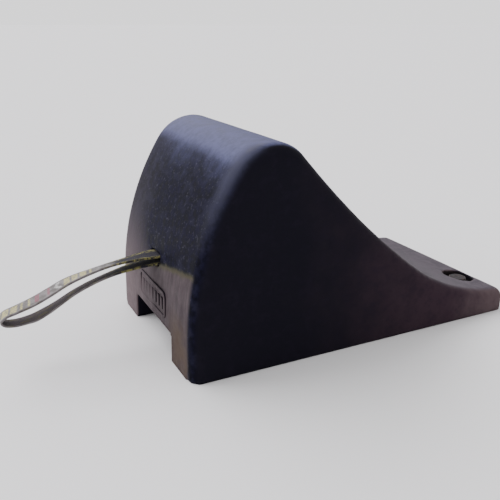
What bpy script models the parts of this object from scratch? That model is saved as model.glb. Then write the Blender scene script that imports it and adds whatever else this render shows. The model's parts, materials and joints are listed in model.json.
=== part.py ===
"""Moulded rubber wheel chock with a webbing pull strap and a bolt through one side of its toe.

X runs from the rear face to the toe, Y to the left and Z up. The origin is on the ground under the
middle of the rubber wedge. Lengths are in metres and angles in degrees unless a name says otherwise.
"""

import math

import bmesh
import bpy
import numpy as np
from mathutils import Matrix, Vector

# Overall size of the rubber wedge.
LENGTH = 0.360
WIDTH = 0.194
HEIGHT = 0.200
REAR_X = -LENGTH / 2
TOE_X = LENGTH / 2

# Side outline, from the rear base over the crest and down the wheel ramp to the toe.
REAR_FLAT_HEIGHT = 0.0375
REAR_RADIUS = 0.2635
CREST_REAR_RADIUS = 0.0435
CREST_FRONT_RADIUS = 0.037
RAMP_TOP_SLOPE = 48.5
RAMP_MIDDLE_SLOPE = 37.1
TOE_SLOPE = 4.1
TOE_THICKNESS = 0.0237
NOSE_RADIUS = 0.010

# Rounding of the side edges, and the small chamfer round the base.
EDGE_RADIUS = 0.013
TOE_EDGE_RADIUS = 0.0115
BASE_CHAMFER = 0.002

# Channel along the underside, between the two feet.
CHANNEL_WIDTH = 0.095
CHANNEL_HEIGHT = 0.0265
CHANNEL_LENGTH = 0.250
CHANNEL_CORNER = 0.004

# Strap slot in the rear face, the throat behind it and the pocket that opens into the channel.
SLOT_WIDTH = 0.023
SLOT_HEIGHT = 0.012
SLOT_Z = 0.0822
THROAT_START = 0.010
THROAT_HEIGHT = 0.0145
POCKET_START = 0.022
POCKET_LENGTH = 0.028
POCKET_WIDTH = 0.038
POCKET_TOP = 0.096

# Strap: flat webbing, hinged where it leaves the slot, looped round a steel toggle pin inside.
STRAP_WIDTH = 0.020
STRAP_THICKNESS = 0.0022
HINGE_X = REAR_X - 0.0005
TAIL_START = 0.0044
PIN_RADIUS = 0.004
PIN_LENGTH = 0.034
FIT_GAP = 0.0003
ROUTE_STEP = 0.0045

# Toe bolt, M10 with washers above and below and a thin nut, in a counterbore at each end.
TOE_BOLT_X = TOE_X - 0.022
TOE_BOLT_Y = -0.0497
BOLT_RADIUS = 0.005
HEX_FLATS = 0.017
HEAD_HEIGHT = 0.006
NUT_HEIGHT = 0.005
WASHER_RADIUS = 0.012
WASHER_THICKNESS = 0.002
TOP_BORE_RADIUS = 0.0155
TOP_BORE_FLOOR = 0.0145
LOWER_BORE_RADIUS = 0.0135
LOWER_BORE_DEPTH = 0.0090
BOLT_END_Z = 0.0010
BOLT_TURN = 22.0

# Cutters run past the surfaces that they open, and facet counts round the turned pieces.
OVERRUN = 0.010
SLOT_OVERLAP = 0.001
BORE_SEGMENTS = 32
SHANK_SEGMENTS = 24

# The loop's route in the plane Y = 0: distance behind the rear face, height, and roll of the webbing.
# A positive roll lifts the left edge. The first point is in the hinge plane, as is the last.
LOOP_ROUTE = (
    (0.0005, 0.0855, 0.0),
    (0.0120, 0.0850, -6.0),
    (0.0260, 0.0835, -12.0),
    (0.0400, 0.0815, -15.0),
    (0.0540, 0.0790, -14.0),
    (0.0680, 0.0755, -10.0),
    (0.0820, 0.0710, -6.0),
    (0.0960, 0.0645, -4.0),
    (0.1100, 0.0585, -4.0),
    (0.1240, 0.0540, -6.0),
    (0.1330, 0.0515, -7.0),
    (0.1375, 0.0475, -8.0),
    (0.1345, 0.0435, -8.0),
    (0.1260, 0.0420, -8.0),
    (0.1170, 0.0425, -8.0),
    (0.1080, 0.0440, -6.0),
    (0.0970, 0.0485, -9.0),
    (0.0850, 0.0545, -14.0),
    (0.0730, 0.0610, -16.0),
    (0.0610, 0.0660, -16.0),
    (0.0490, 0.0700, -16.0),
    (0.0370, 0.0730, -14.0),
    (0.0250, 0.0755, -10.0),
    (0.0120, 0.0775, -5.0),
    (0.0005, 0.0789, 0.0),
)

RUBBER = ("moulded_rubber", (0.035, 0.032, 0.045), 0.62, 0.0)
WEBBING = ("strap_webbing", (0.24, 0.23, 0.20), 0.85, 0.0)
STEEL = ("zinc_steel", (0.30, 0.28, 0.29), 0.45, 0.9)


def clear_scene():
    for obj in list(bpy.data.objects):
        bpy.data.objects.remove(obj, do_unlink=True)


def new_collection(name):
    collection = bpy.data.collections.new(name)
    bpy.context.scene.collection.children.link(collection)
    return collection


def new_material(name, colour, roughness, metallic):
    material = bpy.data.materials.new(name)
    material.use_nodes = True
    shader = material.node_tree.nodes["Principled BSDF"]
    shader.inputs["Base Color"].default_value = (*colour, 1.0)
    shader.inputs["Roughness"].default_value = roughness
    shader.inputs["Metallic"].default_value = metallic
    return material


def object_from(bm, name, collection, finish=None):
    """Turns a bmesh into an object of its own, with faces pointing out and its own material."""
    bmesh.ops.recalc_face_normals(bm, faces=bm.faces)
    mesh = bpy.data.meshes.new(name)
    bm.to_mesh(mesh)
    bm.free()
    obj = bpy.data.objects.new(name, mesh)
    collection.objects.link(obj)
    if finish:
        slot, colour, roughness, metallic = finish
        mesh.materials.append(new_material(f"{slot}_{name}", colour, roughness, metallic))
        mesh.shade_smooth()
        mesh.set_sharp_from_angle(angle=math.radians(32))
    return obj


def cutter_object(bm, name, cutters):
    obj = object_from(bm, name, cutters)
    obj.hide_render = True
    obj.display_type = "WIRE"
    return obj


def box_mesh(low, high):
    bm = bmesh.new()
    bmesh.ops.create_cube(bm, size=1.0)
    low, high = Vector(low), Vector(high)
    bmesh.ops.scale(bm, vec=high - low, verts=bm.verts)
    bmesh.ops.translate(bm, vec=(low + high) / 2, verts=bm.verts)
    return bm


def cylinder_mesh(radius, low, high, segments):
    """An upright cylinder or prism on the Z axis, from height low to height high."""
    bm = bmesh.new()
    middle = Matrix.Translation((0, 0, (low + high) / 2))
    bmesh.ops.create_cone(
        bm, cap_ends=True, segments=segments, radius1=radius, radius2=radius,
        depth=high - low, matrix=middle,
    )
    return bm


def boolean(obj, other, operation):
    modifier = obj.modifiers.new(f"{operation.lower()}_{other.name}", "BOOLEAN")
    modifier.operation = operation
    modifier.object = other


def arc_points(start, heading, radius, turn, steps):
    """Points and headings along an arc in the XZ plane, after its start. A negative turn goes right."""
    side = math.copysign(1.0, turn)
    angle = math.radians(heading)
    centre_x = start[0] - side * radius * math.sin(angle)
    centre_z = start[1] + side * radius * math.cos(angle)
    found = []
    for step in range(1, steps + 1):
        now = heading + turn * step / steps
        here = math.radians(now)
        x = centre_x + side * radius * math.sin(here)
        z = centre_z - side * radius * math.cos(here)
        found.append((x, z, now))
    return found


def ramp_radii(crest_x):
    """The radii of the two ramp arcs, which start below the crest and must end at the toe's nose."""
    top, middle, end = (math.radians(a) for a in (RAMP_TOP_SLOPE, RAMP_MIDDLE_SLOPE, TOE_SLOPE))
    start_x = crest_x + CREST_FRONT_RADIUS * math.sin(top)
    start_z = HEIGHT - CREST_FRONT_RADIUS * (1 - math.cos(top))
    end_x = TOE_X - NOSE_RADIUS * (1 - math.sin(end))
    run = [[math.sin(top) - math.sin(middle), math.sin(middle) - math.sin(end)]]
    fall = [[math.cos(middle) - math.cos(top), math.cos(end) - math.cos(middle)]]
    return np.linalg.solve(np.array(run + fall), np.array([end_x - start_x, start_z - TOE_THICKNESS]))


def side_outline():
    """(x, z, heading, edge radius) from the rear base, up over the crest and down to the toe base."""
    rear_sine = (HEIGHT - REAR_FLAT_HEIGHT - CREST_REAR_RADIUS) / (REAR_RADIUS - CREST_REAR_RADIUS)
    rear_turn = math.degrees(math.asin(rear_sine))
    rear_cosine = math.cos(math.radians(rear_turn))
    crest_x = REAR_X + REAR_RADIUS * (1 - rear_cosine) + CREST_REAR_RADIUS * rear_cosine
    upper_radius, lower_radius = ramp_radii(crest_x)
    line = [(REAR_X, z, 90.0) for z in (0.0, REAR_FLAT_HEIGHT / 2, REAR_FLAT_HEIGHT)]
    stretches = (
        (REAR_RADIUS, -rear_turn, 9),
        (CREST_REAR_RADIUS, rear_turn - 90.0, 6),
        (CREST_FRONT_RADIUS, -RAMP_TOP_SLOPE, 6),
        (upper_radius, RAMP_TOP_SLOPE - RAMP_MIDDLE_SLOPE, 4),
        (lower_radius, RAMP_MIDDLE_SLOPE - TOE_SLOPE, 9),
        (NOSE_RADIUS, TOE_SLOPE - 90.0, 5),
    )
    for radius, turn, steps in stretches:
        line += arc_points(line[-1][:2], line[-1][2], radius, turn, steps)
    line.append((TOE_X, 0.0, -90.0))
    nose_start = TOE_X - NOSE_RADIUS
    ramp_start = crest_x + CREST_FRONT_RADIUS
    outline = []
    for x, z, heading in line:
        along = min(max((x - ramp_start) / (nose_start - ramp_start), 0.0), 1.0)
        fade = along * along * (3 - 2 * along)
        outline.append((x, z, heading, EDGE_RADIUS + (TOE_EDGE_RADIUS - EDGE_RADIUS) * fade))
    return outline


def wedge_mesh():
    """The outer form: one ring across the width for each outline point, with rounded side edges."""
    steps = 5
    bm = bmesh.new()
    rings = []
    for x, z, heading, radius in side_outline():
        angle = math.radians(heading)
        inward = (math.sin(angle), -math.cos(angle))
        half = []
        for step in range(steps + 1):
            phi = math.pi / 2 * step / steps
            depth = radius * (1 - math.sin(phi))
            y = WIDTH / 2 - radius * (1 - math.cos(phi))
            half.append((x + inward[0] * depth, y, max(z + inward[1] * depth, 0.0)))
        ring = half + [(px, -py, pz) for px, py, pz in reversed(half)]
        rings.append([bm.verts.new(point) for point in ring])
    for ring, following in zip(rings, rings[1:]):
        for a, b, c, d in zip(ring, ring[1:], following[1:], following):
            bm.faces.new((a, b, c, d))
    bm.faces.new([ring[0] for ring in rings])
    bm.faces.new([ring[-1] for ring in reversed(rings)])
    bm.faces.new(list(reversed(rings[0])) + rings[-1])
    bmesh.ops.recalc_face_normals(bm, faces=bm.faces)
    base = [e for e in bm.edges if all(v.co.z < 1e-6 for v in e.verts)]
    bmesh.ops.bevel(bm, geom=base, offset=BASE_CHAMFER, segments=2, profile=0.5, affect="EDGES")
    return bm


def channel_mesh():
    """The channel's cutter: a long block, past the rear face and the base, with rounded top edges."""
    half = CHANNEL_WIDTH / 2
    bm = box_mesh((REAR_X - OVERRUN, -half, -OVERRUN), (REAR_X + CHANNEL_LENGTH, half, CHANNEL_HEIGHT))
    end_x = REAR_X + CHANNEL_LENGTH
    rounded = []
    for edge in bm.edges:
        a, b = (v.co for v in edge.verts)
        top_long = abs(a.x - b.x) > OVERRUN and a.z > 0
        end_edge = min(a.x, b.x) > end_x - 1e-6 and (a.z > 0 or b.z > 0)
        if top_long or end_edge:
            rounded.append(edge)
    bmesh.ops.bevel(bm, geom=rounded, offset=CHANNEL_CORNER, segments=3, profile=0.5, affect="EDGES")
    return bm


def make_body(collection, cutters):
    body = object_from(wedge_mesh(), "chock_body", collection, RUBBER)
    boolean(body, cutter_object(channel_mesh(), "cut_channel", cutters), "DIFFERENCE")
    half_slot, half_pocket = SLOT_WIDTH / 2, POCKET_WIDTH / 2
    boxes = {
        "cut_slot": (
            (REAR_X - OVERRUN, -half_slot, SLOT_Z - SLOT_HEIGHT / 2),
            (REAR_X + THROAT_START + SLOT_OVERLAP, half_slot, SLOT_Z + SLOT_HEIGHT / 2),
        ),
        "cut_throat": (
            (REAR_X + THROAT_START, -half_slot, SLOT_Z - THROAT_HEIGHT / 2),
            (REAR_X + POCKET_START + SLOT_OVERLAP, half_slot, SLOT_Z + THROAT_HEIGHT / 2),
        ),
        "cut_pocket": (
            (REAR_X + POCKET_START, -half_pocket, CHANNEL_HEIGHT - OVERRUN / 2),
            (REAR_X + POCKET_START + POCKET_LENGTH, half_pocket, POCKET_TOP),
        ),
    }
    for name, (low, high) in boxes.items():
        boolean(body, cutter_object(box_mesh(low, high), name, cutters), "DIFFERENCE")
    bores = {
        "cut_top_bore": (TOP_BORE_RADIUS, TOP_BORE_FLOOR, TOE_THICKNESS + 2 * OVERRUN, BORE_SEGMENTS),
        "cut_lower_bore": (LOWER_BORE_RADIUS, -OVERRUN, LOWER_BORE_DEPTH, BORE_SEGMENTS),
        "cut_bolt_hole": (BOLT_RADIUS + FIT_GAP, -OVERRUN / 2, TOE_THICKNESS + OVERRUN, SHANK_SEGMENTS),
    }
    for name, (radius, low, high, segments) in bores.items():
        cutter = cutter_object(cylinder_mesh(radius, low, high, segments), name, cutters)
        cutter.location = (TOE_BOLT_X, TOE_BOLT_Y, 0.0)
        boolean(body, cutter, "DIFFERENCE")
    return body


def smooth_route(knots, step):
    """A Catmull-Rom curve through the knots, as a list of rows about step apart in its first two values."""
    rows = [np.array(k) for k in knots]
    padded = [2 * rows[0] - rows[1], *rows, 2 * rows[-1] - rows[-2]]
    found = []
    for a, b, c, d in zip(padded, padded[1:], padded[2:], padded[3:]):
        count = max(1, round(float(np.linalg.norm((c - b)[:2])) / step))
        for index in range(count):
            t = index / count
            square, cube = 2 * a - 5 * b + 4 * c - d, 3 * b - a - 3 * c + d
            found.append(0.5 * (2 * b + (c - a) * t + square * t**2 + cube * t**3))
    return found + [rows[-1]]


def ribbon_mesh(route):
    """Flat webbing along (x, z, roll) rows in the plane Y = 0, as one closed strip."""
    bm = bmesh.new()
    rings = []
    last = len(route) - 1
    for index, (x, z, roll) in enumerate(route):
        before, after = route[max(index - 1, 0)], route[min(index + 1, last)]
        along = Vector((after[0] - before[0], 0.0, after[1] - before[1])).normalized()
        lean = math.radians(roll)
        across = Vector((0.0, math.cos(lean), math.sin(lean)))
        normal = along.cross(across).normalized()
        across = normal.cross(along).normalized()
        centre = Vector((x, 0.0, z))
        side, lift = across * STRAP_WIDTH / 2, normal * STRAP_THICKNESS / 2
        rings.append([
            bm.verts.new(centre + side * u + lift * v) for u, v in ((1, 1), (1, -1), (-1, -1), (-1, 1))
        ])
    for ring, following in zip(rings, rings[1:]):
        for side in range(4):
            other = (side + 1) % 4
            bm.faces.new((ring[side], ring[other], following[other], following[side]))
    bm.faces.new(rings[0])
    bm.faces.new(list(reversed(rings[-1])))
    return bm


def pin_x():
    """The pin lies against the pocket's rear wall, a fitting gap away from it."""
    return REAR_X + POCKET_START + PIN_RADIUS + FIT_GAP


def make_strap(collection):
    """The moving loop, with its origin on the hinge axis, and the fixed tail round the toggle pin."""
    flat = smooth_route([(REAR_X - back, z, roll) for back, z, roll in LOOP_ROUTE], ROUTE_STEP)
    bm = ribbon_mesh(flat)
    bmesh.ops.translate(bm, vec=(-HINGE_X, 0.0, -SLOT_Z), verts=bm.verts)
    loop = object_from(bm, "pull_strap_loop", collection, WEBBING)
    loop.location = (HINGE_X, 0.0, SLOT_Z)

    eye = PIN_RADIUS + FIT_GAP + STRAP_THICKNESS / 2
    ply = LOOP_ROUTE[0][1] - SLOT_Z
    turn = [
        (pin_x() + eye * math.cos(math.radians(a)), SLOT_Z + eye * math.sin(math.radians(a)), 0.0)
        for a in range(90, -91, -15)
    ]
    upper = [(REAR_X + TAIL_START, SLOT_Z + ply, 0.0), (REAR_X + THROAT_START, SLOT_Z + ply, 0.0)]
    lower = [(x, 2 * SLOT_Z - z, roll) for x, z, roll in reversed(upper)]
    tail = ribbon_mesh(upper + turn + lower)
    return loop, object_from(tail, "pull_strap_tail", collection, WEBBING)


def make_pin(collection):
    bm = cylinder_mesh(PIN_RADIUS, -PIN_LENGTH / 2, PIN_LENGTH / 2, SHANK_SEGMENTS)
    bmesh.ops.rotate(bm, matrix=Matrix.Rotation(math.pi / 2, 3, "X"), verts=bm.verts)
    pin = object_from(bm, "strap_toggle_pin", collection, STEEL)
    pin.location = (pin_x(), 0.0, SLOT_Z)
    return pin


def ring_object(name, outer, segments, height, collection, cutters):
    """A flat ring or a hexagonal nut with a clearance hole for the bolt, standing on its own origin."""
    obj = object_from(cylinder_mesh(outer, 0.0, height, segments), name, collection, STEEL)
    drill = cylinder_mesh(BOLT_RADIUS + FIT_GAP, -OVERRUN, height + OVERRUN, SHANK_SEGMENTS)
    hole = cutter_object(drill, f"cut_{name}", cutters)
    hole.parent = obj
    boolean(obj, hole, "DIFFERENCE")
    return obj


def make_toe_hardware(collection, cutters):
    """The bolt with its two washers and nut, stacked through the toe with small gaps between."""
    across_corners = HEX_FLATS / math.sqrt(3)
    washer_z = TOP_BORE_FLOOR + FIT_GAP
    head_z = washer_z + WASHER_THICKNESS + FIT_GAP
    lower_washer_z = LOWER_BORE_DEPTH - FIT_GAP - WASHER_THICKNESS
    nut_z = lower_washer_z - FIT_GAP - NUT_HEIGHT

    head = cylinder_mesh(across_corners, head_z, head_z + HEAD_HEIGHT, 6)
    bolt = object_from(head, "toe_bolt", collection, STEEL)
    shank_mesh = cylinder_mesh(BOLT_RADIUS, BOLT_END_Z, head_z + HEAD_HEIGHT / 2, SHANK_SEGMENTS)
    shank = cutter_object(shank_mesh, "join_shank", cutters)
    shank.parent = bolt
    boolean(bolt, shank, "UNION")
    ring = (WASHER_RADIUS, BORE_SEGMENTS, WASHER_THICKNESS, collection, cutters)
    washer = ring_object("toe_washer", *ring)
    lower = ring_object("toe_lower_washer", *ring)
    nut = ring_object("toe_nut", across_corners, 6, NUT_HEIGHT, collection, cutters)
    for obj, z in ((bolt, 0.0), (washer, washer_z), (lower, lower_washer_z), (nut, nut_z)):
        obj.location = (TOE_BOLT_X, TOE_BOLT_Y, z)
    bolt.rotation_euler.z = math.radians(BOLT_TURN)
    nut.rotation_euler.z = -math.radians(BOLT_TURN)


def main():
    clear_scene()
    collection = new_collection("wheel_chock")
    cutters = new_collection("wheel_chock_cutters")
    make_body(collection, cutters)
    make_strap(collection)
    make_pin(collection)
    make_toe_hardware(collection, cutters)


main()
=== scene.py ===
"""Looks of the rubber wheel chock: fine rubber body, woven pull strap, weathered steel and the studio."""

import json
import math
import random

import bmesh
import bpy
import numpy as np
from mathutils import Matrix, Vector, noise


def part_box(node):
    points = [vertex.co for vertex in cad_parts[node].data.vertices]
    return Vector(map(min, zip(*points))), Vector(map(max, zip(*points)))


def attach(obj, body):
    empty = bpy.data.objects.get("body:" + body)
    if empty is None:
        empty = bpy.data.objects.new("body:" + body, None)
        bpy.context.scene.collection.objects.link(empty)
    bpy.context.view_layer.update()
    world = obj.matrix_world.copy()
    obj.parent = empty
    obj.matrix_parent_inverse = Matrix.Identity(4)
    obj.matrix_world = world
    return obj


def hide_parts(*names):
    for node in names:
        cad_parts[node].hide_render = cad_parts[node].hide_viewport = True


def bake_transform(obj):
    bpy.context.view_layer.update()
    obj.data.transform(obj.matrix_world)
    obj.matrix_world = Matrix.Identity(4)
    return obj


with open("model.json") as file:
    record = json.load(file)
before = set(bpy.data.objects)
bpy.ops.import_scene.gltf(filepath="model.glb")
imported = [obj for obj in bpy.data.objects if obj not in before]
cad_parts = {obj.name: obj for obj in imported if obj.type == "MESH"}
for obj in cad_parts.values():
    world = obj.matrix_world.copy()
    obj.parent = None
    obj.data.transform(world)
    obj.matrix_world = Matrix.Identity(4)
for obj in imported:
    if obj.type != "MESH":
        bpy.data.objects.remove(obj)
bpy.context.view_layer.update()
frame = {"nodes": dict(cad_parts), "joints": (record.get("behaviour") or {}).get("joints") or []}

# The CAD frame gives the overall size and where the hardware is.
BODY_LOW, BODY_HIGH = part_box("chock_body")
REAR_X, TOE_X = BODY_LOW.x, BODY_HIGH.x
WIDTH = BODY_HIGH.y - BODY_LOW.y
HEIGHT = BODY_HIGH.z
PIN_LOW, PIN_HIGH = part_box("strap_toggle_pin")
PIN_X, PIN_Z = (PIN_LOW.x + PIN_HIGH.x) / 2, (PIN_LOW.z + PIN_HIGH.z) / 2
PIN_RADIUS = (PIN_HIGH.z - PIN_LOW.z) / 2
HINGE_X, _, HINGE_Z = frame["joints"][0]["pos_m"]

# Side outline of the rubber, as in the CAD.
REAR_FLAT_HEIGHT = 0.0375
REAR_RADIUS = 0.2635
CREST_REAR_RADIUS = 0.0435
CREST_FRONT_RADIUS = 0.037
RAMP_TOP_SLOPE = 48.5
RAMP_MIDDLE_SLOPE = 37.1
TOE_SLOPE = 4.1
TOE_THICKNESS = 0.0237
NOSE_RADIUS = 0.010
EDGE_RADIUS = 0.013
TOE_EDGE_RADIUS = 0.0115
CHANNEL_WIDTH = 0.095
CHANNEL_HEIGHT = 0.0265
CHANNEL_LENGTH = 0.250
SLOT_WIDTH = 0.023
SLOT_HEIGHT = 0.012
THROAT_START = 0.010
THROAT_HEIGHT = 0.0145
POCKET_START = 0.022
POCKET_LENGTH = 0.028
POCKET_WIDTH = 0.038
POCKET_FLOOR = 0.010
POCKET_TOP = 0.096
TOP_BORE_RADIUS = 0.0155
TOP_BORE_FLOOR = 0.0145
LOWER_BORE_RADIUS = 0.0135
LOWER_BORE_DEPTH = 0.0090
BOLT_RADIUS = 0.005
HEX_FLATS = 0.017
HEX_CHAMFER = 0.0011

# Webbing, and its route behind the rear face: distance back, height, and roll in degrees, as in the CAD.
STRAP_WIDTH = 0.020
STRAP_THICKNESS = 0.0022
FIT_GAP = 0.0003
LOOP_ROUTE = (
    (0.0005, 0.0855, 0.0),
    (0.0120, 0.0850, -6.0),
    (0.0260, 0.0835, -12.0),
    (0.0400, 0.0815, -15.0),
    (0.0540, 0.0790, -14.0),
    (0.0680, 0.0755, -10.0),
    (0.0820, 0.0710, -6.0),
    (0.0960, 0.0645, -4.0),
    (0.1100, 0.0585, -4.0),
    (0.1240, 0.0540, -6.0),
    (0.1330, 0.0515, -7.0),
    (0.1375, 0.0475, -8.0),
    (0.1345, 0.0435, -8.0),
    (0.1260, 0.0420, -8.0),
    (0.1170, 0.0425, -8.0),
    (0.1080, 0.0440, -6.0),
    (0.0970, 0.0485, -9.0),
    (0.0850, 0.0545, -14.0),
    (0.0730, 0.0610, -16.0),
    (0.0610, 0.0660, -16.0),
    (0.0490, 0.0700, -16.0),
    (0.0370, 0.0730, -14.0),
    (0.0250, 0.0755, -10.0),
    (0.0120, 0.0775, -5.0),
    (0.0005, 0.0789, 0.0),
)

# One repeat of the print on the webbing's outer side: where each mark starts and ends along it. The start
# is a distance along the webbing from the hinge.
PRINT_START = 0.0595
PRINT_REPEAT = 0.066
YELLOW_MARKS = ((0.0015, 0.0075), (0.0095, 0.0150), (0.0170, 0.0225), (0.0555, 0.0575), (0.0625, 0.0645))
RED_MARKS = ((0.0365, 0.0390), (0.0470, 0.0510))
CHEVRON = (0.0285, 0.0320)

# Body mesh: voxel size of the skin, how far the rear panel is sunk, and the unevenness of old rubber.
VOXEL = 0.0018
PANEL_SINK = 0.0006
PANEL_EDGE_MIDDLE = 0.0775
PANEL_EDGE_RISE = 0.0190
WAVE_HEIGHT = 0.00035
NICKS = 46
TORN_BEHIND_TOE = 0.014
TORN_DEPTH = 0.0016
TORN_SIZE = 0.0045

# Pad of plain bars in a rounded frame on the rear panel.
PAD_WIDTH = 0.069
PAD_HEIGHT = 0.026
PAD_CENTRE_Z = 0.0470
PAD_CORNER = 0.006
PAD_RIM = 0.0028
PAD_PROUD = 0.0008
PAD_SUNK = 0.0020
PAD_BARS = 7


def make_camera():
    """A camera behind and to the right of the chock, looking down at it."""
    looking_down, heading = 17.06, -24.63
    data = bpy.data.cameras.new("camera")
    data.sensor_width = 36.0
    data.lens = 45.2
    data.shift_x = 0.0766
    data.shift_y = -0.0750
    camera = bpy.data.objects.new("camera", data)
    camera.location = (REAR_X - 0.176, -0.520, 0.294)
    camera.rotation_euler = (math.radians(90 - looking_down), 0.0, math.radians(heading))
    bpy.context.scene.collection.objects.link(camera)
    bpy.context.scene.camera = camera


def new_object(bm, name):
    bmesh.ops.recalc_face_normals(bm, faces=bm.faces)
    mesh = bpy.data.meshes.new(name)
    bm.to_mesh(mesh)
    bm.free()
    obj = bpy.data.objects.new(name, mesh)
    bpy.context.scene.collection.objects.link(obj)
    return obj


def apply_modifiers(obj):
    graph = bpy.context.evaluated_depsgraph_get()
    mesh = bpy.data.meshes.new_from_object(obj.evaluated_get(graph))
    obj.modifiers.clear()
    old, obj.data = obj.data, mesh
    bpy.data.meshes.remove(old)


def smooth_step(value, low, high):
    t = np.clip((value - low) / (high - low), 0.0, 1.0)
    return t * t * (3 - 2 * t)


# ---------------------------------------------------------------- node helpers


def new_material(name):
    material = bpy.data.materials.new(name)
    material.use_nodes = True
    return material, material.node_tree, material.node_tree.nodes["Principled BSDF"]


class Nodes:
    """Short ways to add and link shader nodes in one tree."""

    def __init__(self, tree):
        self.tree = tree

    def add(self, kind, **inputs):
        node = self.tree.nodes.new(kind)
        for key, value in inputs.items():
            self.put(node, key, value)
        return node

    def put(self, node, key, value):
        socket = node.inputs[int(key[1:]) if key[0] == "i" and key[1:].isdigit() else key.replace("_", " ")]
        if isinstance(value, bpy.types.NodeSocket):
            self.tree.links.new(value, socket)
        else:
            socket.default_value = value

    def math(self, operation, a, b=0.0, clamp=False):
        node = self.add("ShaderNodeMath", i0=a, i1=b)
        node.operation = operation
        node.use_clamp = clamp
        return node.outputs[0]

    def ramp(self, value, low, high, out_low=0.0, out_high=1.0, shape="SMOOTHSTEP"):
        node = self.add("ShaderNodeMapRange", Value=value)
        node.interpolation_type = shape
        for key, number in (("From Min", low), ("From Max", high), ("To Min", out_low), ("To Max", out_high)):
            node.inputs[key].default_value = number
        return node.outputs["Result"]

    def product(self, first, *others):
        for other in others:
            first = self.math("MULTIPLY", first, other)
        return first

    def mix(self, factor, a, b, blend="MIX"):
        node = self.tree.nodes.new("ShaderNodeMix")
        node.data_type = "RGBA"
        node.blend_type = blend
        for index, value in ((0, factor), (6, a), (7, b)):
            if isinstance(value, bpy.types.NodeSocket):
                self.tree.links.new(value, node.inputs[index])
            elif index:
                node.inputs[index].default_value = (*value, 1.0)
            else:
                node.inputs[index].default_value = value
        return node.outputs[2]

    def noise(self, vector, scale, detail, roughness):
        node = self.add("ShaderNodeTexNoise", Vector=vector, Scale=scale, Detail=detail, Roughness=roughness)
        return node.outputs["Fac"]

    def scaled(self, vector, scale):
        node = self.add("ShaderNodeVectorMath", i0=vector, i1=scale)
        node.operation = "MULTIPLY"
        return node.outputs[0]

    def bump(self, height, strength, distance, normal=None):
        node = self.add("ShaderNodeBump", Height=height, Strength=strength, Distance=distance)
        if normal is not None:
            self.put(node, "Normal", normal)
        return node.outputs["Normal"]


def attribute_value(nodes, name):
    node = nodes.tree.nodes.new("ShaderNodeAttribute")
    node.attribute_name = name
    return node.outputs["Fac"]


# ---------------------------------------------------------------- pull strap


def smooth_route(knots, step):
    """A Catmull-Rom curve through the knots, about step apart in its first two values."""
    rows = [np.array(k) for k in knots]
    padded = [2 * rows[0] - rows[1], *rows, 2 * rows[-1] - rows[-2]]
    found = []
    for a, b, c, d in zip(padded, padded[1:], padded[2:], padded[3:]):
        count = max(1, round(float(np.linalg.norm((c - b)[:2])) / step))
        for index in range(count):
            t = index / count
            cubic = (3 * b - a - 3 * c + d) * t**3
            found.append(0.5 * (2 * b + (c - a) * t + (2 * a - 5 * b + 4 * c - d) * t**2 + cubic))
    return found + [rows[-1]]


def strap_route():
    """(x, z, roll) from behind the toggle pin, out round the loop and back behind the pin."""
    step = 0.0012
    loop = smooth_route([(REAR_X - back, z, roll) for back, z, roll in LOOP_ROUTE], step)
    eye = PIN_RADIUS + FIT_GAP + STRAP_THICKNESS / 2
    seam_angle = 3.0
    turn = [math.radians(seam_angle + (90 - seam_angle) * k / 8) for k in range(9)]
    upper = [(PIN_X + eye * math.cos(a), PIN_Z + eye * math.sin(a), 0.0) for a in turn]
    upper_z = LOOP_ROUTE[0][1]
    throat = [(REAR_X + 0.0140, upper_z + 0.0006, 0.0), (REAR_X + 0.0070, upper_z, 0.0)]
    knots = [upper[-1], *throat, (HINGE_X, upper_z, 0.0)]
    entry = upper[:-1] + [tuple(row) for row in smooth_route(knots, step)][:-1]
    leaving = [(x, 2 * HINGE_Z - z, roll) for x, z, roll in reversed(entry)]
    return [np.array(row) for row in entry] + loop + [np.array(row) for row in leaving]


def route_length(route):
    return sum(math.hypot(b[0] - a[0], b[1] - a[1]) for a, b in zip(route, route[1:]))


def strap_inside_length(route):
    """The length of webbing between its end behind the pin and the hinge."""
    found = 0.0
    for before, after in zip(route, route[1:]):
        if before[0] <= HINGE_X + 1e-6:
            return found
        found += math.hypot(after[0] - before[0], after[1] - before[1])
    return found


def strap_section(steps, round_steps):
    """(across, through, u, face) round the flat section, from -1 to 1. Face is 1 on the printed side."""
    flat = 0.93
    angles = [math.pi * k / round_steps for k in range(1, round_steps)]
    top = [(-flat + 2 * flat * k / steps, 1.0) for k in range(steps + 1)]
    edge = [(flat + (1 - flat) * math.sin(a), math.cos(a)) for a in angles]
    half = [(u, v, u, 0.0) for u, v in top] + [(u, v, 1.0, 0.5) for u, v in edge]
    return half + [(-u, -v, -t, 1.0 - face) for u, v, t, face in half]


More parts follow.
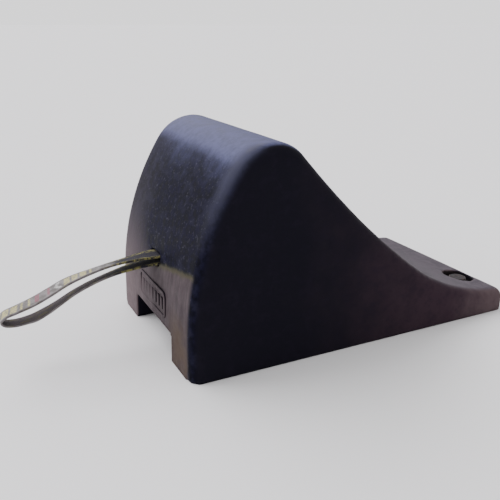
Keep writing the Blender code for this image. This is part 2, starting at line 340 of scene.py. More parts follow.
def make_strap():
    """The whole strap as one strip of webbing."""
    wander_by, cup_by, rib_by, rib_room = 0.0004, 0.00025, 0.00007, 0.00008
    route = strap_route()
    section = strap_section(18, 4)
    bm = bmesh.new()
    layer_u = bm.verts.layers.float.new("strap_u")
    layer_v = bm.verts.layers.float.new("strap_v")
    layer_face = bm.verts.layers.float.new("strap_face")
    rings, along_strap = [], 0.0
    last = len(route) - 1
    inside = strap_inside_length(route)
    for index, (x, z, roll) in enumerate(route):
        before, after = route[max(index - 1, 0)], route[min(index + 1, last)]
        if index:
            along_strap += math.hypot(x - before[0], z - before[1])
        along = Vector((after[0] - before[0], 0.0, after[1] - before[1])).normalized()
        lean = math.radians(roll)
        across = Vector((0.0, math.cos(lean), math.sin(lean)))
        normal = along.cross(across).normalized()
        across = normal.cross(along).normalized()
        wander = wander_by * noise.noise(Vector((along_strap * 60, 0.0, 4.0)))
        ring = []
        for u, v, t, face in section:
            cup = cup_by * (u * u - 0.4) * noise.noise(Vector((along_strap * 40, 7.0, 1.0)))
            rib = rib_by * math.cos(u * 9 * math.pi) * v
            point = Vector((x, wander, z)) + across * (u * STRAP_WIDTH / 2)
            point += normal * (v * STRAP_THICKNESS / 2 + cup + rib - rib_room * v)
            vert = bm.verts.new(point)
            vert[layer_u], vert[layer_v], vert[layer_face] = t, along_strap - inside, face
            ring.append(vert)
        rings.append(ring)
    count = len(section)
    for ring, following in zip(rings, rings[1:]):
        for side in range(count):
            other = (side + 1) % count
            bm.faces.new((ring[side], ring[other], following[other], following[side]))
    bm.faces.new(rings[0])
    bm.faces.new(list(reversed(rings[-1])))
    strap = new_object(bm, "pull_strap_webbing")
    strap.data.shade_smooth()
    strap.data.materials.append(webbing_material())
    bend_start, bend_end = (HINGE_X + 0.004, 0, HINGE_Z), (HINGE_X - 0.008, 0, HINGE_Z)
    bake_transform(strap)
    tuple(bend_start)
    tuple(bend_end)
    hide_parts("pull_strap_loop", "pull_strap_tail")
    return strap


def span(n, value, low, high, soft=0.0006):
    """1 where value is between low and high, with soft ends."""
    return n.math("MULTIPLY", n.ramp(value, low - soft, low + soft), n.ramp(value, high + soft, high - soft))


def webbing_print(n, u, v):
    """(yellow, red, white) masks of plain blocks, bars and a chevron, which repeat along the outer side."""
    turn = n.math("FRACT", n.math("DIVIDE", n.math("SUBTRACT", v, PRINT_START), PRINT_REPEAT))
    phase = n.math("MULTIPLY", turn, PRINT_REPEAT)
    across = n.math("ABSOLUTE", u)
    slanted = n.math("ADD", phase, n.math("MULTIPLY", u, 0.0016))
    folded = n.math("ADD", phase, n.math("MULTIPLY", across, 0.0050))
    clear_of_edges = n.ramp(across, 0.80, 0.66)
    clear_of_slot = n.ramp(v, 0.050, 0.056)
    masks = []
    for place, marks in ((slanted, YELLOW_MARKS), (slanted, RED_MARKS), (folded, (CHEVRON,))):
        mask = 0.0
        for low, high in marks:
            mask = n.math("ADD", mask, span(n, place, low, high))
        masks.append(n.product(mask, clear_of_edges, clear_of_slot))
    return masks


def webbing_material():
    """Soiled grey webbing with plain coloured marks outside, purple-brown inside, darker there partly as
    painted shade, and a woven bump.
    """
    material, tree, shader = new_material("webbing")
    n = Nodes(tree)
    u, v, face = (attribute_value(n, name) for name in ("strap_u", "strap_v", "strap_face"))
    half_width = n.math("MULTIPLY", u, STRAP_WIDTH / 2)
    position = n.add("ShaderNodeCombineXYZ", X=half_width, Y=v, Z=0.0).outputs[0]

    # Weave: cross ribs, each broken into staggered yarns.
    rib_pitch = 0.0011
    rib = n.math("SINE", n.math("MULTIPLY", v, 2 * math.pi / rib_pitch))
    yarn = n.math("SINE", n.math("MULTIPLY", u, 14 * math.pi))
    weave = n.math("ADD", n.math("MULTIPLY", rib, yarn), n.math("MULTIPLY", rib, 0.5))
    fray = n.noise(position, 900.0, 2.0, 0.6)
    dirt = n.noise(position, 95.0, 4.0, 0.65)

    # Outer side: mauve-grey ground with worn print, going black with yellow borders near the slot.
    worn = n.ramp(n.noise(position, 420.0, 4.0, 0.75), 0.34, 0.58)
    outer = n.mix(n.ramp(dirt, 0.36, 0.64), (0.145, 0.135, 0.128), (0.275, 0.262, 0.262))
    yellow_ink, red_ink, white_ink = (0.62, 0.57, 0.25), (0.33, 0.10, 0.14), (0.58, 0.58, 0.56)
    for mask, ink in zip(webbing_print(n, u, v), (yellow_ink, red_ink, white_ink)):
        outer = n.mix(n.product(mask, worn, 0.9), outer, ink)
    from_slot = n.math("MINIMUM", v, n.math("SUBTRACT", route_length(LOOP_ROUTE), v))
    uneven = n.math("MULTIPLY", n.math("SUBTRACT", dirt, 0.5), 0.03)
    soiled = n.ramp(n.math("ADD", from_slot, uneven), 0.048, 0.028)
    blotch = n.ramp(n.noise(n.scaled(position, (1.0, 0.55, 1.0)), 340.0, 3.0, 0.7), 0.44, 0.58)
    borders = n.math("ADD", n.ramp(u, 0.30, 0.60), n.ramp(u, -0.66, -0.88))
    black = n.mix(n.math("MULTIPLY", borders, blotch), (0.012, 0.010, 0.018), (0.215, 0.198, 0.070))
    outer = n.mix(soiled, outer, black)

    # Inner side: dark purple-brown with olive streaks, its darkness partly painted shade.
    streak = n.noise(n.scaled(position, (1.0, 0.35, 1.0)), 210.0, 4.0, 0.65)
    inner = n.mix(n.ramp(streak, 0.50, 0.66), (0.070, 0.052, 0.060), (0.118, 0.106, 0.046))
    inner = n.mix(n.math("MULTIPLY", soiled, 0.9), inner, black)
    colour = n.mix(face, inner, outer)
    shade = n.ramp(n.math("ADD", weave, n.math("MULTIPLY", fray, 1.4)), -1.2, 2.4, 0.62, 1.18)
    grey = n.add("ShaderNodeCombineColor", Red=shade, Green=shade, Blue=shade).outputs[0]
    n.put(shader, "Base Color", n.mix(1.0, colour, grey, "MULTIPLY"))
    n.put(shader, "Roughness", n.ramp(fray, 0.3, 0.7, 0.72, 0.95))
    shader.inputs["Specular IOR Level"].default_value = 0.2
    shader.inputs["Sheen Weight"].default_value = 0.06
    woven = n.bump(weave, 0.55, 0.00025)
    n.put(shader, "Normal", n.bump(fray, 0.25, 0.0003, woven))
    return material


# ---------------------------------------------------------------- rubber body


def arc_points(start, heading, radius, turn, steps):
    """Points and headings along an arc in the XZ plane, after its start. A negative turn goes right."""
    side = math.copysign(1.0, turn)
    angle = math.radians(heading)
    centre_x = start[0] - side * radius * math.sin(angle)
    centre_z = start[1] + side * radius * math.cos(angle)
    found = []
    for step in range(1, steps + 1):
        now = heading + turn * step / steps
        here = math.radians(now)
        x, z = centre_x + side * radius * math.sin(here), centre_z - side * radius * math.cos(here)
        found.append((x, z, now))
    return found


def ramp_radii(crest_x):
    """The radii of the two ramp arcs, which start below the crest and end at the toe's nose."""
    top, middle, end = (math.radians(a) for a in (RAMP_TOP_SLOPE, RAMP_MIDDLE_SLOPE, TOE_SLOPE))
    start_x = crest_x + CREST_FRONT_RADIUS * math.sin(top)
    start_z = HEIGHT - CREST_FRONT_RADIUS * (1 - math.cos(top))
    end_x = TOE_X - NOSE_RADIUS * (1 - math.sin(end))
    run = [math.sin(top) - math.sin(middle), math.sin(middle) - math.sin(end)]
    fall = [math.cos(middle) - math.cos(top), math.cos(end) - math.cos(middle)]
    return np.linalg.solve(np.array([run, fall]), np.array([end_x - start_x, start_z - TOE_THICKNESS]))


def side_outline():
    """(x, z, heading, edge radius) from the rear base, up over the crest and down to the toe base."""
    rear_sine = (HEIGHT - REAR_FLAT_HEIGHT - CREST_REAR_RADIUS) / (REAR_RADIUS - CREST_REAR_RADIUS)
    rear_turn = math.degrees(math.asin(rear_sine))
    rear_cosine = math.cos(math.radians(rear_turn))
    crest_x = REAR_X + REAR_RADIUS * (1 - rear_cosine) + CREST_REAR_RADIUS * rear_cosine
    upper_radius, lower_radius = ramp_radii(crest_x)
    line = [(REAR_X, REAR_FLAT_HEIGHT * k / 20, 90.0) for k in range(21)]
    stretches = (
        (REAR_RADIUS, -rear_turn, 48),
        (CREST_REAR_RADIUS, rear_turn - 90.0, 20),
        (CREST_FRONT_RADIUS, -RAMP_TOP_SLOPE, 16),
        (upper_radius, RAMP_TOP_SLOPE - RAMP_MIDDLE_SLOPE, 50),
        (lower_radius, RAMP_MIDDLE_SLOPE - TOE_SLOPE, 48),
        (NOSE_RADIUS, TOE_SLOPE - 90.0, 12),
    )
    for radius, turn, steps in stretches:
        line += arc_points(line[-1][:2], line[-1][2], radius, turn, steps)
    line.append((TOE_X, 0.0, -90.0))
    nose_start, ramp_start = TOE_X - NOSE_RADIUS, crest_x + CREST_FRONT_RADIUS
    outline = []
    for x, z, heading in line:
        fade = float(smooth_step(np.array(x), ramp_start, nose_start))
        outline.append((x, z, heading, EDGE_RADIUS + (TOE_EDGE_RADIUS - EDGE_RADIUS) * fade))
    return outline


def wedge_object():
    """The outer form as rings across the width, with rounded side edges."""
    steps = 12
    bm = bmesh.new()
    rings = []
    for x, z, heading, radius in side_outline():
        angle = math.radians(heading)
        inward = (math.sin(angle), -math.cos(angle))
        half = []
        for step in range(steps + 1):
            phi = math.pi / 2 * step / steps
            depth = radius * (1 - math.sin(phi))
            y = WIDTH / 2 - radius * (1 - math.cos(phi))
            half.append((x + inward[0] * depth, y, 0.0 if z == 0.0 else z + inward[1] * depth))
        ring = half + [(px, -py, pz) for px, py, pz in reversed(half)]
        rings.append([bm.verts.new(point) for point in ring])
    for ring, following in zip(rings, rings[1:]):
        for a, b, c, d in zip(ring, ring[1:], following[1:], following):
            bm.faces.new((a, b, c, d))
    bm.faces.new([ring[0] for ring in rings])
    bm.faces.new([ring[-1] for ring in reversed(rings)])
    bm.faces.new(list(reversed(rings[0])) + rings[-1])
    return new_object(bm, "chock_rubber")


def box_mesh(low, high, rounding=0.0):
    bm = bmesh.new()
    bmesh.ops.create_cube(bm, size=1.0)
    low, high = Vector(low), Vector(high)
    bmesh.ops.scale(bm, vec=high - low, verts=bm.verts)
    bmesh.ops.translate(bm, vec=(low + high) / 2, verts=bm.verts)
    if rounding:
        bmesh.ops.bevel(bm, geom=bm.edges[:], offset=rounding, segments=4, profile=0.5, affect="EDGES")
    return bm


def cylinder_mesh(radius, low, high, centre, segments=64):
    bm = bmesh.new()
    middle = Matrix.Translation((centre[0], centre[1], (low + high) / 2))
    bmesh.ops.create_cone(
        bm, cap_ends=True, segments=segments, radius1=radius, radius2=radius, depth=high - low, matrix=middle,
    )
    return bm


def body_cutters(bolt):
    """The channel, slot, throat, pocket and toe bores, each run past its open end."""
    half_slot, half_throat, half_pocket = SLOT_WIDTH / 2, THROAT_HEIGHT / 2, POCKET_WIDTH / 2
    overrun, lap = 0.010, 0.004
    channel_rounding, slot_rounding, pocket_rounding = 0.004, 0.0015, 0.002
    yield box_mesh(
        (REAR_X - overrun, -CHANNEL_WIDTH / 2, -overrun),
        (REAR_X + CHANNEL_LENGTH, CHANNEL_WIDTH / 2, CHANNEL_HEIGHT), channel_rounding,
    )
    yield box_mesh(
        (REAR_X - overrun, -half_slot, HINGE_Z - SLOT_HEIGHT / 2),
        (REAR_X + THROAT_START + lap, half_slot, HINGE_Z + SLOT_HEIGHT / 2), slot_rounding,
    )
    yield box_mesh(
        (REAR_X + THROAT_START, -half_slot, HINGE_Z - half_throat),
        (REAR_X + POCKET_START + lap, half_slot, HINGE_Z + half_throat), slot_rounding,
    )
    yield box_mesh(
        (REAR_X + POCKET_START, -half_pocket, POCKET_FLOOR),
        (REAR_X + POCKET_START + POCKET_LENGTH, half_pocket, POCKET_TOP), pocket_rounding,
    )
    yield cylinder_mesh(TOP_BORE_RADIUS, TOP_BORE_FLOOR, TOE_THICKNESS + 2 * overrun, bolt)
    yield cylinder_mesh(LOWER_BORE_RADIUS, -overrun, LOWER_BORE_DEPTH, bolt)
    yield cylinder_mesh(BOLT_RADIUS + FIT_GAP, -overrun / 2, TOE_THICKNESS + overrun, bolt)


def bolt_centre():
    low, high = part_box("toe_washer")
    return ((low.x + high.x) / 2, (low.y + high.y) / 2)


def panel_edge(y):
    """The height of the rear panel's upper edge, which climbs from the slot to the right-hand side."""
    return PANEL_EDGE_MIDDLE + PANEL_EDGE_RISE * np.clip(-y / (WIDTH / 2), 0.0, 1.0)


def weather_body(obj):
    """Sinks the rear panel, and gives the skin the low waves and nicks of old rubber."""
    mesh = obj.data
    count = len(mesh.vertices)
    co, normal = np.empty(count * 3), np.empty(count * 3)
    mesh.vertices.foreach_get("co", co)
    mesh.vertices.foreach_get("normal", normal)
    co, normal = co.reshape(-1, 3), normal.reshape(-1, 3)
    facing_back = smooth_step(-normal[:, 0], 0.80, 0.95)
    at_rear = smooth_step(-co[:, 0], -REAR_X - 0.020, -REAR_X - 0.010)
    below = smooth_step(panel_edge(co[:, 1]) - co[:, 2], -0.0012, 0.0012)
    inner = smooth_step(WIDTH / 2 - 0.008 - np.abs(co[:, 1]), 0.0, 0.006)
    right = smooth_step(-co[:, 1], -0.004, 0.014)
    sink = PANEL_SINK * facing_back * at_rear * below * inner * right
    wave = np.array([noise.fractal(Vector(p) * 22.0, 0.9, 2.0, 3) for p in co])
    push = -WAVE_HEIGHT * (0.5 + 0.5 * np.clip(wave, -1, 1))
    random.seed(7)
    for _ in range(NICKS):
        along = random.uniform(REAR_X, TOE_X)
        side = random.choice((-1, 1))
        height = random.choice((0.0, 0.0, random.uniform(0.0, HEIGHT)))
        centre = np.array((along, side * WIDTH / 2, height))
        near = np.linalg.norm(co - centre, axis=1)
        size = random.uniform(0.002, 0.006)
        push -= random.uniform(0.0003, 0.0011) * np.exp(-((near / size) ** 2))
    torn = np.linalg.norm(co - np.array((TOE_X - TORN_BEHIND_TOE, -WIDTH / 2, 0.001)), axis=1)
    push -= TORN_DEPTH * np.exp(-((torn / TORN_SIZE) ** 2))
    push[co[:, 2] < 0.0004] = 0.0
    co = co + normal * push[:, None]
    co[:, 0] += sink
    mesh.vertices.foreach_set("co", co.reshape(-1))
    mesh.update()


def make_body():
    """The rubber: the wedge less its cutters, remeshed fine enough to carry waves and nicks."""
    body = wedge_object()
    cutters = []
    for index, bm in enumerate(body_cutters(bolt_centre())):
        cutter = new_object(bm, f"cutter_{index}")
        modifier = body.modifiers.new(cutter.name, "BOOLEAN")
        modifier.object, modifier.operation = cutter, "DIFFERENCE"
        cutters.append(cutter)
    apply_modifiers(body)
    for cutter in cutters:
        bpy.data.objects.remove(cutter, do_unlink=True)
    remesh = body.modifiers.new("skin", "REMESH")
    remesh.mode, remesh.voxel_size = "VOXEL", VOXEL
    soften = body.modifiers.new("soften", "SMOOTH")
    soften.factor, soften.iterations = 0.5, 4
    apply_modifiers(body)
    weather_body(body)
    body.data.shade_smooth()
    body.data.materials.clear()
    body.data.materials.append(rubber_material())
    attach(body, "chock")
    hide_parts("chock_body")
    return body


class RubberSurface:
    """Where a point of the rubber is, which way it faces, and the noises that its colours share."""

    def __init__(self, n):
        coordinates = n.add("ShaderNodeTexCoord")
        self.position = coordinates.outputs["Object"]
        self.x, self.y, self.z = n.add("ShaderNodeSeparateXYZ", Vector=self.position).outputs
        facing = n.add("ShaderNodeSeparateXYZ", Vector=coordinates.outputs["Normal"])
        facing_x, facing_y, self.upward = facing.outputs
        self.rearward = n.math("MULTIPLY", facing_x, -1.0)
        self.sideways = n.math("ABSOLUTE", facing_y)
        self.medium = n.noise(self.position, 120.0, 5.0, 0.65)
        self.broad = n.noise(self.position, 22.0, 4.0, 0.6)
        self.ragged = n.math("SUBTRACT", self.broad, 0.5)
        self.along = n.math("ADD", self.x, n.math("MULTIPLY", self.ragged, 0.12))


def side_colour(n, at):
    """Blue-black at the rear, purple-brown toward the toe, and a dusty tip."""
    colour = n.mix(n.ramp(at.along, -0.09, 0.12), (0.0062, 0.0056, 0.0098), (0.0330, 0.0195, 0.0270))
    colour = n.mix(n.ramp(at.medium, 0.45, 0.70, 0.0, 0.35), colour, (0.0130, 0.0105, 0.0180))
    return n.mix(n.ramp(at.along, 0.105, 0.185, 0.0, 0.90), colour, (0.1000, 0.0720, 0.0750))


def back_over(n, at, colour):
    """Navy with light flecks, greyer toward the left and low down, partly from wear and dust and partly
    painted light from the left.
    """
    speck = n.noise(at.position, 300.0, 3.0, 0.8)
    patch = n.noise(at.position, 60.0, 3.0, 0.7)
    back = n.math("MULTIPLY", n.ramp(at.rearward, 0.10, 0.40), n.ramp(at.sideways, 0.92, 0.58))
    navy = n.mix(n.ramp(at.medium, 0.38, 0.62), (0.0010, 0.0010, 0.0050), (0.0060, 0.0056, 0.0170))
    navy = n.mix(n.ramp(patch, 0.50, 0.66, 0.0, 0.7), navy, (0.0120, 0.0118, 0.0230))
    flecks = n.math("MULTIPLY", n.ramp(speck, 0.57, 0.67, 0.0, 0.50), n.ramp(at.sideways, 0.45, 0.10))
    navy = n.mix(flecks, navy, (0.052, 0.052, 0.076))
    # The grey toward the left is partly wear and dust, partly painted light falling from the left.
    grey = n.mix(n.ramp(at.medium, 0.30, 0.70), (0.0270, 0.0240, 0.0320), (0.0560, 0.0500, 0.0620))
    left = n.math("MULTIPLY", n.ramp(at.y, 0.010, 0.100), n.ramp(at.z, 0.170, 0.080, 0.30, 1.0))
    return n.mix(back, colour, n.mix(left, navy, grey))


def crest_bloom_and_highlight_over(n, at, colour):
    """Blue-grey blooming of old rubber mixed with a painted highlight, strongest where the back rolls over,
    and a painted highlight along the right-hand edge.
    """
    high = n.math("ADD", at.upward, n.math("MULTIPLY", at.ragged, 0.25))
    # Part blooming of old rubber, part painted highlight where the crest faces up toward the light.
    bloom_and_highlight = n.product(
        n.ramp(high, 0.43, 0.78), n.ramp(at.x, 0.040, -0.080),
        n.ramp(at.sideways, 0.62, 0.25), n.ramp(at.z, 0.120, 0.160), 0.92,
    )
    bloom_and_highlight_colour = n.mix(n.ramp(at.medium, 0.30, 0.66), (0.055, 0.060, 0.122), (0.100, 0.106, 0.200))
    colour = n.mix(bloom_and_highlight, colour, bloom_and_highlight_colour)
    # Painted highlight: a lighter blue-grey band down the rounded right-hand edge of the back.
    ridge_highlight = n.product(
        n.ramp(at.y, -0.068, -0.086), n.ramp(at.y, -0.0955, -0.0890),
        n.ramp(at.rearward, 0.10, 0.40), n.ramp(at.z, 0.105, 0.185), 0.85,
    )
    return n.mix(ridge_highlight, colour, (0.037, 0.038, 0.063))


def panel_dust(n, at):
    """(dust, seam) masks of the rear face: sharp at the panel's edge on the right, faint on the left."""
    climb = n.ramp(n.math("MULTIPLY", at.y, -1.0), 0.0, WIDTH / 2, 0.0, PANEL_EDGE_RISE, "LINEAR")
    depth = n.math("SUBTRACT", n.math("ADD", climb, PANEL_EDGE_MIDDLE), at.z)
    depth = n.math("ADD", depth, n.math("MULTIPLY", n.math("SUBTRACT", at.medium, 0.5), 0.008))
    soft = n.ramp(at.y, -0.005, 0.055, 0.0016, 0.050)
    reach = n.math("ADD", depth, n.math("MULTIPLY", soft, 0.9))
    level = n.math("DIVIDE", reach, n.math("MULTIPLY", soft, 2.0))
    seam = n.math("MULTIPLY", span(n, depth, -0.0015, 0.0035, 0.0020), n.ramp(at.y, 0.004, -0.010))
    return n.ramp(level, 0.0, 1.0), seam


def rear_panel_over(n, at, colour):
    """Pinkish dust with upright streaks, lighter toward the left, partly as painted light from the left, and
    an ochre stain low on the right foot.
    """
    dust, seam = panel_dust(n, at)
    on_rear = n.product(
        n.ramp(at.rearward, 0.30, 0.60), n.ramp(at.x, REAR_X + 0.030, REAR_X + 0.020),
        n.ramp(at.y, -0.0885, -0.0815),
    )
    streak = n.noise(n.scaled(at.position, (1.0, 1.0, 0.15)), 170.0, 4.0, 0.6)
    pink = n.mix(n.ramp(streak, 0.34, 0.68), (0.048, 0.037, 0.041), (0.074, 0.057, 0.062))
    low_right = n.math("MULTIPLY", n.ramp(at.y, -0.030, -0.065), n.ramp(at.z, 0.062, 0.030))
    stain = n.product(n.ramp(at.broad, 0.40, 0.58), low_right, 0.6)
    pink = n.mix(stain, pink, (0.082, 0.056, 0.034))
    # Lighter toward the left: partly dust, partly painted light from the left.
    pink = n.mix(n.ramp(at.y, 0.000, 0.085, 0.0, 0.85), pink, (0.140, 0.106, 0.112))
    colour = n.mix(n.product(dust, on_rear, 0.95), colour, pink)
    return n.mix(n.product(seam, on_rear, 0.55), colour, (0.052, 0.050, 0.020))


def ramp_over(n, at, colour):
    """Ramp and toe: scuffed by tyres, then rubbed light and dusty where the ramp flattens."""
    upward = n.product(
        n.ramp(at.upward, 0.66, 0.98), n.ramp(at.x, -0.060, -0.020), n.ramp(at.sideways, 0.60, 0.05),
    )
    scuff = n.noise(n.scaled(at.position, (1.0, 0.22, 1.0)), 130.0, 5.0, 0.7)
    scuffed = n.mix(n.ramp(scuff, 0.44, 0.68), (0.0170, 0.0155, 0.0220), (0.0500, 0.0450, 0.0560))
    rubbed = n.mix(n.ramp(at.medium, 0.32, 0.66), (0.052, 0.044, 0.055), (0.098, 0.083, 0.097))
    return n.mix(upward, colour, n.mix(n.ramp(at.along, 0.050, 0.125), scuffed, rubbed))


def bore_shade_over(n, at, colour):
    """Painted shade in the toe bolt's bores."""
    centre = bolt_centre()
    away = [n.math("SUBTRACT", value, middle) for value, middle in zip((at.x, at.y), centre)]
    from_bolt = n.math("SQRT", n.math("ADD", *(n.math("POWER", side, 2.0) for side in away)))
    # Painted shade: the rubber darkened near-black inside the bores.
    bore_shade = n.ramp(from_bolt, TOP_BORE_RADIUS + 0.0015, TOP_BORE_RADIUS - 0.0004)
    return n.mix(bore_shade, colour, (0.006, 0.005, 0.006))


def rubber_material():
    """Near-black rubber, with a navy back, a crest of blue-grey blooming and painted highlight, a painted
    highlight on the right-hand edge, dust on the rear panel and the toe, and painted shade in the toe bolt's
    bores.
    """
    material, tree, shader = new_material("rubber")
    n = Nodes(tree)
    at = RubberSurface(n)
    colour = side_colour(n, at)
    for layer in (back_over, crest_bloom_and_highlight_over, rear_panel_over, ramp_over, bore_shade_over):
        colour = layer(n, at, colour)
    n.put(shader, "Base Color", colour)
    dull = n.ramp(at.medium, 0.30, 0.70, 0.46, 0.64)
    n.put(shader, "Roughness", n.math("ADD", dull, n.ramp(at.sideways, 0.45, 0.90, 0.0, 0.30), clamp=True))
    shader.inputs["Specular IOR Level"].default_value = 0.05
    grain = n.bump(n.noise(at.position, 900.0, 3.0, 0.6), 0.18, 0.0004)
    n.put(shader, "Normal", n.bump(at.medium, 0.14, 0.0012, grain))
    return material


# ---------------------------------------------------------------- raised pad on the rear panel


def grip_bars(face_x):
    """Plain upright bars inside the frame."""
    inner_width = PAD_WIDTH - 4 * PAD_RIM
    pitch = inner_width / PAD_BARS
    half_height = PAD_HEIGHT / 2 - 2.6 * PAD_RIM
    bm = bmesh.new()
    for index in range(PAD_BARS):
        y = -inner_width / 2 + index * pitch + pitch * 0.25
        low = (face_x - PAD_PROUD * 0.75, y, PAD_CENTRE_Z - half_height)
        high = (face_x + PAD_SUNK, y + pitch * 0.5, PAD_CENTRE_Z + half_height)
        part = box_mesh(low, high, 0.0006)
        mesh = bpy.data.meshes.new("bar")
        part.to_mesh(mesh)
        part.free()
        bm.from_mesh(mesh)
        bpy.data.meshes.remove(mesh)
    return new_object(bm, "rear_grip_bars")


def rounded_ring(bm, x, grow):
    """The frame's outline at x, moved outward by grow."""
    steps = 8
    radius = PAD_CORNER + grow
    ring = []
    for quarter, (side_y, side_z) in enumerate(((1, 1), (-1, 1), (-1, -1), (1, -1))):
        for step in range(steps + 1):
            angle = math.radians(90 * quarter + 90 * step / steps)
            y = side_y * (PAD_WIDTH / 2 - PAD_CORNER) + radius * math.cos(angle)
            z = PAD_CENTRE_Z + side_z * (PAD_HEIGHT / 2 - PAD_CORNER) + radius * math.sin(angle)
            ring.append(bm.verts.new((x, y, z)))
    return ring


def grip_frame(face_x):
    """A rounded frame with softened edges."""
    soft = 0.0006
    shoulder_x, top_x, root_x = face_x - PAD_PROUD * 0.55, face_x - PAD_PROUD, face_x + PAD_SUNK
    profile = (
        (root_x, 0.0), (shoulder_x, 0.0), (top_x, -soft),
        (top_x, soft - PAD_RIM), (shoulder_x, -PAD_RIM), (root_x, -PAD_RIM),
    )
    bm = bmesh.new()
    rings = [rounded_ring(bm, x, grow) for x, grow in profile]
    count = len(rings[0])
    for ring, following in zip(rings, rings[1:] + rings[:1]):
        for side in range(count):
            other = (side + 1) % count
            bm.faces.new((ring[side], ring[other], following[other], following[side]))
    return new_object(bm, "rear_grip_frame")


def make_grip_pad():
    """A rounded frame with plain bars, moulded on the rear panel in place of any lettering."""
    face_x = REAR_X + PANEL_SINK
    for obj in (grip_bars(face_x), grip_frame(face_x)):
        obj.data.shade_smooth()
        obj.data.set_sharp_from_angle(angle=math.radians(50))
        obj.data.materials.append(bpy.data.materials["rubber"])
        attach(obj, "chock")


# ---------------------------------------------------------------- steel


def steel_material():
    """Weathered zinc plate with dirt in it and a little rust."""
    material, tree, shader = new_material("zinc_steel")
    n = Nodes(tree)
    position = n.add("ShaderNodeTexCoord").outputs["Object"]
    grain = n.noise(position, 1400.0, 3.0, 0.6)
    patch = n.noise(position, 260.0, 4.0, 0.65)
    plate, rust_colour = (0.036, 0.031, 0.036), (0.16, 0.075, 0.035)
    tone = n.mix(n.ramp(patch, 0.35, 0.65), tuple(c * 0.6 for c in plate), plate)
    rust = n.math("MULTIPLY", n.ramp(n.noise(position, 420.0, 5.0, 0.7), 0.52, 0.66), 0.5)
    n.put(shader, "Base Color", n.mix(rust, tone, rust_colour))
    n.put(shader, "Metallic", n.ramp(rust, 0.0, 1.0, 0.85, 0.1))
    n.put(shader, "Roughness", n.ramp(patch, 0.3, 0.7, 0.38, 0.68))
    n.put(shader, "Normal", n.bump(grain, 0.3, 0.0002))
    return material


def circle_ring(bm, centre, z, turn, radii):
    """A ring of vertices at height z, one for each radius."""
    ring = []
    for step, radius in enumerate(radii):
        angle = 2 * math.pi * step / len(radii) + turn
        x, y = centre[0] + radius * math.cos(angle), centre[1] + radius * math.sin(angle)
        ring.append(bm.verts.new((x, y, z)))
    return ring


def hex_object(name, centre, low, high, turn, chamfer_low, chamfer_high, hole=0.0):
    """A hexagonal head or nut whose corners are cut back by cones, with a bore if hole is given."""
    segments, slope = 72, math.tan(math.radians(30))
    face_radius = HEX_FLATS / 2 * 0.95
    height = high - low
    cuts = [HEX_CHAMFER * share for share in (0.35, 0.7, 1.0)]
    hexagon = []
    for step in range(segments):
        folded = (2 * math.pi * step / segments + math.pi / 6) % (math.pi / 3) - math.pi / 6
        hexagon.append(HEX_FLATS / 2 / math.cos(folded))
    bm = bmesh.new()
    rings = []
    for level in sorted({0.0, height, *cuts, *(height - cut for cut in cuts)}):
        below = face_radius + level / slope if chamfer_low else math.inf
        above = face_radius + (height - level) / slope if chamfer_high else math.inf
        rings.append(circle_ring(bm, centre, low + level, turn, [min(r, below, above) for r in hexagon]))
    if hole:
        rings += [circle_ring(bm, centre, z, turn, [hole] * segments) for z in (high, low)]
    pairs = list(zip(rings, rings[1:]))
    if hole:
        pairs.append((rings[-1], rings[0]))
    for ring, following in pairs:
        for side in range(segments):
            other = (side + 1) % segments
            bm.faces.new((ring[side], ring[other], following[other], following[side]))
    if not hole:
        bm.faces.new(rings[0])
        bm.faces.new(list(reversed(rings[-1])))
    obj = new_object(bm, name)
    obj.data.shade_smooth()
    obj.data.set_sharp_from_angle(angle=math.radians(28))
    return obj


def soften_cad_node(name, material, width):
    """Keeps a CAD node, with fine bevelled edges and its finished material."""
    obj = frame["nodes"][name]
    bevel = obj.modifiers.new("fine_edges", "BEVEL")
    bevel.limit_method, bevel.angle_limit = "ANGLE", math.radians(35)
    bevel.width, bevel.segments = width, 2
    obj.data.materials.clear()
    obj.data.materials.append(material)


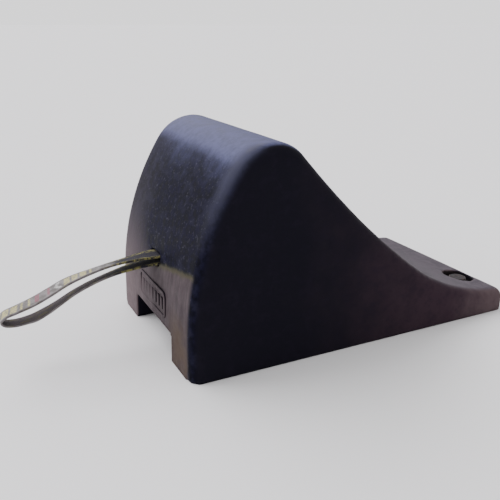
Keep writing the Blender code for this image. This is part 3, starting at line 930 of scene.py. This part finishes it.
def make_hardware():
    """The toe bolt, its washers and nut, and the strap's pin."""
    zinc = steel_material()
    centre = bolt_centre()
    low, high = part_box("toe_bolt")
    washer_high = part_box("toe_washer")[1].z
    turn = math.radians(22.0)
    head = hex_object("toe_bolt_head", centre, washer_high + FIT_GAP, high.z, turn, False, True)
    shank_top = washer_high + 0.001
    shank = new_object(cylinder_mesh(BOLT_RADIUS, low.z, shank_top, centre, 48), "toe_bolt_shank")
    tip = shank.modifiers.new("tip", "BEVEL")
    tip.width, tip.segments, tip.limit_method = 0.0008, 2, "ANGLE"
    apply_modifiers(shank)
    shank.data.shade_smooth()
    shank.data.set_sharp_from_angle(angle=math.radians(32))
    nut_low, nut_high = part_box("toe_nut")
    nut = hex_object("toe_thin_nut", centre, nut_low.z, nut_high.z, -turn, True, True, BOLT_RADIUS + FIT_GAP)
    for obj in (head, shank, nut):
        obj.data.materials.append(zinc)
        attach(obj, "chock")
    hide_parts("toe_bolt")
    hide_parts("toe_nut")
    for name, width in (("toe_washer", 0.0003), ("toe_lower_washer", 0.0003), ("strap_toggle_pin", 0.0006)):
        soften_cad_node(name, zinc, width)


# ---------------------------------------------------------------- studio


def make_floor():
    bm = bmesh.new()
    bmesh.ops.create_grid(bm, x_segments=1, y_segments=1, size=40.0)
    floor = new_object(bm, "studio_floor")
    material, _, shader = new_material("pale_floor")
    shader.inputs["Base Color"].default_value = (0.88, 0.88, 0.88, 1.0)
    shader.inputs["Roughness"].default_value = 0.9
    floor.data.materials.append(material)


def make_lamps():
    """Three wide, soft suns: from behind on the left, from low on the left, and from straight behind."""
    lamps = (
        ("key", (-1.0, 1.1, 1.5), 2.1, 50.0, (0.97, 0.95, 1.0)),
        ("rim", (0.2, 1.7, 1.0), 1.1, 40.0, (0.97, 0.95, 1.0)),
        ("rear_fill", (-1.9, 0.1, 1.0), 0.7, 50.0, (1.0, 0.96, 0.97)),
    )
    for name, towards, strength, spread, colour in lamps:
        data = bpy.data.lights.new(name, "SUN")
        data.angle, data.energy, data.color = math.radians(spread), strength, colour
        lamp = bpy.data.objects.new(name, data)
        lamp.location = towards
        lamp.rotation_euler = Vector(towards).to_track_quat("Z", "Y").to_euler()
        bpy.context.scene.collection.objects.link(lamp)


def make_world():
    """Even pale light, seen a little brighter than it lights, so that the floor's far edge doesn't show."""
    lighting, seen_strength = 1.0, 1.52
    world = bpy.data.worlds.new("studio")
    world.use_nodes = True
    tree = world.node_tree
    background = tree.nodes["Background"]
    background.inputs["Color"].default_value = (0.99, 0.98, 1.0, 1.0)
    seen = tree.nodes.new("ShaderNodeLightPath").outputs["Is Camera Ray"]
    strength = tree.nodes.new("ShaderNodeMapRange")
    strength.inputs["To Min"].default_value = lighting
    strength.inputs["To Max"].default_value = seen_strength
    tree.links.new(seen, strength.inputs["Value"])
    tree.links.new(strength.outputs["Result"], background.inputs["Strength"])
    bpy.context.scene.world = world


make_camera()
make_strap()
make_body()
make_grip_pad()
make_hardware()
make_floor()
make_lamps()
make_world()
